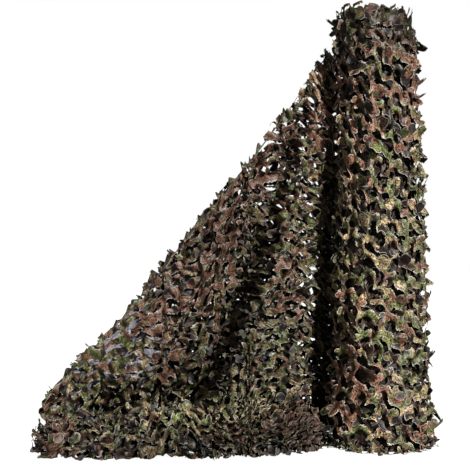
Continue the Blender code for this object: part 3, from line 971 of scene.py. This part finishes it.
def cut_to_shape(field, right_end, left_end, least_heap):
    """Drop the cells of the flat field that lie outside the piece: above its sloping top edge, beyond
    its two ends, or where the heap has run out beside the roll."""
    bmesh.ops.translate(field, verts=field.verts[:], vec=(0.0, -down_rows, 0.0))
    middles = np.array([f.calc_center_median()[:2] for f in field.faces]) * LOOSE_PITCH
    x = np.interp(middles[:, 0], place_u, place_x)
    top = read_table(TOP_EDGE, 1, x) - read_table(PILE, 1, x) - 0.012
    heap = np.interp(middles[:, 0], place_u, heap_lengths)
    out = (middles[:, 1] > top) | ((middles[:, 1] < 0) & (heap < least_heap))
    out |= (x > right_end) | (x < left_end)
    gone = [f for f, drop in zip(field.faces, out) if drop]
    bmesh.ops.delete(field, geom=gone, context="FACES")
    # Scraps that hang on to nothing go too.
    unseen = set(field.faces)
    while unseen:
        scrap, edge_of_it = set(), [unseen.pop()]
        while edge_of_it:
            face = edge_of_it.pop()
            scrap.add(face)
            for near in {n for e in face.edges for n in e.link_faces}:
                if near in unseen:
                    unseen.discard(near)
                    edge_of_it.append(near)
        if len(scrap) < SCRAP_FACES:
            bmesh.ops.delete(field, geom=list(scrap), context="FACES")
    bmesh.ops.reverse_faces(field, faces=field.faces[:])
    return field


loose_field = cut_to_shape(flat_net("loose_end", loose_columns, loose_rows), 0.0, -1.162, 0.10)
loose_end = bend_net(loose_field, "loose_end", loose_cloth(0.0), loose_plan, loose_cloth_finish)

UNDER_GREY = (0.16, 0.155, 0.185, 1.0)   # its grey patches
# The layer behind is darkened on its front as painted shade; its reverse is made six times lighter again.
under_cloth = net_cloth("net_cloth_behind_in_painted_shade", 0.12, (0.12, 0.11, 0.11), 6.0)
under_tree = under_cloth.node_tree
under_colour = under_tree.nodes["Principled BSDF"].inputs["Base Color"]
turned = under_tree.nodes.new("ShaderNodeNewGeometry").outputs["Backfacing"]
grey_share = calculate(under_tree, "SUBTRACT", cloth_value(under_tree, "tone"), turned, clamp=True)
greyed = mix_colours(under_tree, grey_share, under_colour.links[0].from_socket, UNDER_GREY)
feed(under_tree, under_colour, greyed)
under_plan = dict(loose_plan, seed=71, open=1.0, gape=0.8, hole_shape=closed_holes, tone=grey_patch,
                  crumple=0.004, print_shift=(7.0, 1.3), bends=(
                      ((0.00, -80, -60), (0.75, -35, -40), (0.76, 10, 10), (1.00, 60, 30)), LOOSE_BENDS[1]))
under_field = cut_to_shape(flat_net("under_layer", loose_columns, loose_rows, False), -0.09, -1.15, 0.12)
under_layer = bend_net(under_field, "under_layer", loose_cloth(UNDER_LIFT), under_plan, under_cloth)
for piece in (loose_end, under_layer):
    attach(piece, "root")
    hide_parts("net_loose_end")

# The selvedge: the narrow, fairly straight edge along the top of the loose end, with leaf tips standing
# up from it. That it is a strip of its own, joined to the cloth along its length, is a guess.
edge_mesh = bmesh.new()
bmesh.ops.create_grid(edge_mesh, x_segments=420, y_segments=3, size=0.5)
edge_spots = np.array([v.co[:2] for v in edge_mesh.verts]) + 0.5
edge_u = 0.02 + edge_spots[:, 0] * (place_u[-1] - 0.06)
edge_x = np.interp(edge_u, place_u, place_x)
tips = np.clip(np.sin(edge_u * 105 + 2.0 * np.sin(edge_u * 17)), 0.0, 1.0) ** 2
edge_rise = np.interp(edge_spots[:, 1], (0.0, 0.34, 1.0), (-0.007, 0.0, 1.0))
edge_rise = np.where(edge_rise > 0, 0.001 + edge_rise * 0.022 * tips, edge_rise)
edge_top = read_table(TOP_EDGE, 1, edge_x) - read_table(PILE, 1, edge_x) - 0.018
edge_place, _, edge_up, edge_normal = loose_cloth(0.003)(edge_u, edge_top)
edge_lean = np.clip(edge_rise, 0.0, 1.0) * np.sin(edge_u * 61)
edge_final = edge_place + edge_up * edge_rise[:, None] + edge_normal * edge_lean[:, None]
for vert, spot in zip(edge_mesh.verts, edge_final):
    vert.co = spot
selvedge = make_object("selvedge", edge_mesh)
selvedge.data.shade_smooth()
selvedge.data.materials.append(plain_cloth("selvedge_weave", 0.22, 0.6)[0])
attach(selvedge, "root")
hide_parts("net_loose_end")
